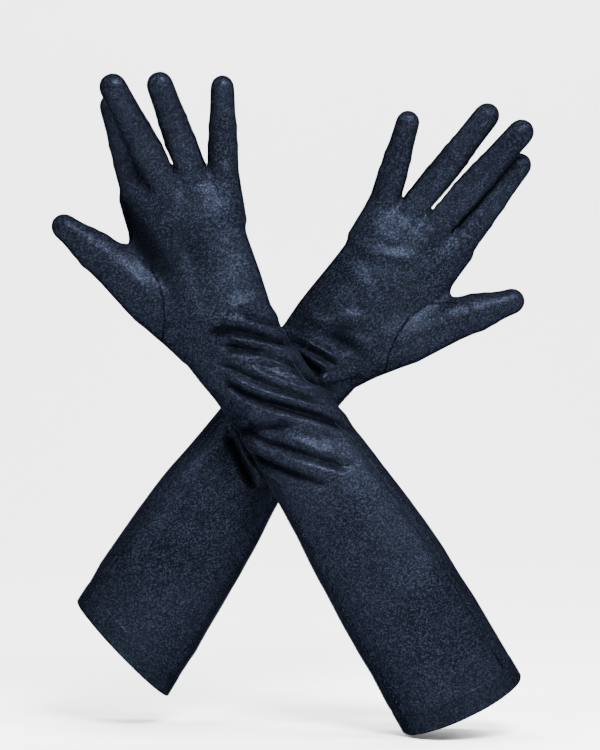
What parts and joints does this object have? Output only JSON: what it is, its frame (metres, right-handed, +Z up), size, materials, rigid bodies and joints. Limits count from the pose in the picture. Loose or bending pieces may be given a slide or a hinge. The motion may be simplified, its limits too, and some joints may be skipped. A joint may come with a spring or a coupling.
{
  "type": "opera gloves",
  "caption": "Pair of elbow-length stretch gloves in worn shape, arms crossed, with bending wrists, thumbs and fingers.",
  "frame": {"origin": "centre of the left glove's arm opening", "axes": "+Z up, roughly along the arms towards the fingertips; +Y out of the back of the hands, so the palms face -Y; +X towards the right glove's fingertips"},
  "size_m": [0.3045, 0.1486, 0.4111],
  "materials": {
    "satin": "satin",
    "fourchette": "satin",
    "hem": "satin",
    "seam_thread": "matte"
  },
  "bodies": {
    "left_sleeve": {"left_cuff_hem": "hem", "left_sleeve_palm_panel": "satin", "left_sleeve_back_panel": "satin", "left_outer_seam_thread": "seam_thread", "left_inner_seam_thread": "seam_thread"},
    "left_hand": {"left_hand_palm_panel": "satin", "left_hand_back_panel": "satin", "left_thumb_gusset": "satin"},
    "left_index": {"left_index_front": "satin", "left_index_back": "satin", "left_index_little_side_fourchette": "fourchette"},
    "left_middle": {"left_middle_front": "satin", "left_middle_back": "satin", "left_middle_thumb_side_fourchette": "fourchette", "left_middle_little_side_fourchette": "fourchette"},
    "left_ring": {"left_ring_front": "satin", "left_ring_back": "satin", "left_ring_thumb_side_fourchette": "fourchette", "left_ring_little_side_fourchette": "fourchette"},
    "left_little": {"left_little_front": "satin", "left_little_back": "satin", "left_little_thumb_side_fourchette": "fourchette"},
    "left_thumb": {"left_thumb_front": "satin", "left_thumb_back": "satin"},
    "right_sleeve": {"right_cuff_hem": "hem", "right_sleeve_palm_panel": "satin", "right_sleeve_back_panel": "satin", "right_outer_seam_thread": "seam_thread", "right_inner_seam_thread": "seam_thread"},
    "right_hand": {"right_hand_palm_panel": "satin", "right_hand_back_panel": "satin", "right_thumb_gusset": "satin"},
    "right_index": {"right_index_front": "satin", "right_index_back": "satin", "right_index_little_side_fourchette": "fourchette"},
    "right_middle": {"right_middle_front": "satin", "right_middle_back": "satin", "right_middle_thumb_side_fourchette": "fourchette", "right_middle_little_side_fourchette": "fourchette"},
    "right_ring": {"right_ring_front": "satin", "right_ring_back": "satin", "right_ring_thumb_side_fourchette": "fourchette", "right_ring_little_side_fourchette": "fourchette"},
    "right_little": {"right_little_front": "satin", "right_little_back": "satin", "right_little_thumb_side_fourchette": "fourchette"},
    "right_thumb": {"right_thumb_front": "satin", "right_thumb_back": "satin"}
  },
  "joints": [
    {"name": "left_wrist_bend", "type": "hinge", "parent": "left_sleeve", "child": "left_hand", "pos_m": [-0.14261, 0, 0.22935], "axis": [0.9225, 0, 0.3859], "range_deg": [-28, 28]},
    {"name": "left_index_bend", "type": "hinge", "parent": "left_hand", "child": "left_index", "pos_m": [-0.19598, -0.0102, 0.3104], "axis": [0.9668, 0, 0.2554], "range_deg": [-8, 34]},
    {"name": "left_middle_bend", "type": "hinge", "parent": "left_hand", "child": "left_middle", "pos_m": [-0.17761, -0.0102, 0.31525], "axis": [0.9668, 0, 0.2554], "range_deg": [-8, 34]},
    {"name": "left_ring_bend", "type": "hinge", "parent": "left_hand", "child": "left_ring", "pos_m": [-0.16079, -0.0102, 0.3197], "axis": [0.9668, 0, 0.2554], "range_deg": [-8, 48]},
    {"name": "left_little_bend", "type": "hinge", "parent": "left_hand", "child": "left_little", "pos_m": [-0.14464, -0.0102, 0.32397], "axis": [0.9668, 0, 0.2554], "range_deg": [-8, 70]},
    {"name": "left_thumb_bend", "type": "hinge", "parent": "left_hand", "child": "left_thumb", "pos_m": [-0.21526, -0.01502, 0.27531], "axis": [0.6184, 0, 0.7859], "range_deg": [-8, 40]},
    {"name": "right_wrist_bend", "type": "hinge", "parent": "right_sleeve", "child": "right_hand", "pos_m": [-0.07971, 0.051, 0.22358], "axis": [0.829, 0, -0.5592], "range_deg": [-28, 28]},
    {"name": "right_index_bend", "type": "hinge", "parent": "right_hand", "child": "right_index", "pos_m": [-0.00163, 0.0408, 0.28122], "axis": [0.8192, 0, -0.5736], "range_deg": [-8, 65]},
    {"name": "right_middle_bend", "type": "hinge", "parent": "right_hand", "child": "right_middle", "pos_m": [-0.0172, 0.0408, 0.29211], "axis": [0.8192, 0, -0.5736], "range_deg": [-8, 65]},
    {"name": "right_ring_bend", "type": "hinge", "parent": "right_hand", "child": "right_ring", "pos_m": [-0.03145, 0.0408, 0.30209], "axis": [0.8192, 0, -0.5736], "range_deg": [-8, 65]},
    {"name": "right_little_bend", "type": "hinge", "parent": "right_hand", "child": "right_little", "pos_m": [-0.04513, 0.0408, 0.31167], "axis": [0.8192, 0, -0.5736], "range_deg": [-8, 60]},
    {"name": "right_thumb_bend", "type": "hinge", "parent": "right_hand", "child": "right_thumb", "pos_m": [0.00434, 0.03598, 0.24163], "axis": [0.309, 0, -0.9511], "range_deg": [-8, 40]},
    {"name": "gloves_apart", "type": "slide", "parent": "left_sleeve", "child": "right_sleeve", "axis": [0, 1, 0], "range_m": [0, 0.2]}
  ],
  "couplings": [
    {"joint": "left_index_bend", "follows": "left_middle_bend", "ratio": 1},
    {"joint": "right_index_bend", "follows": "right_middle_bend", "ratio": 1}
  ]
}
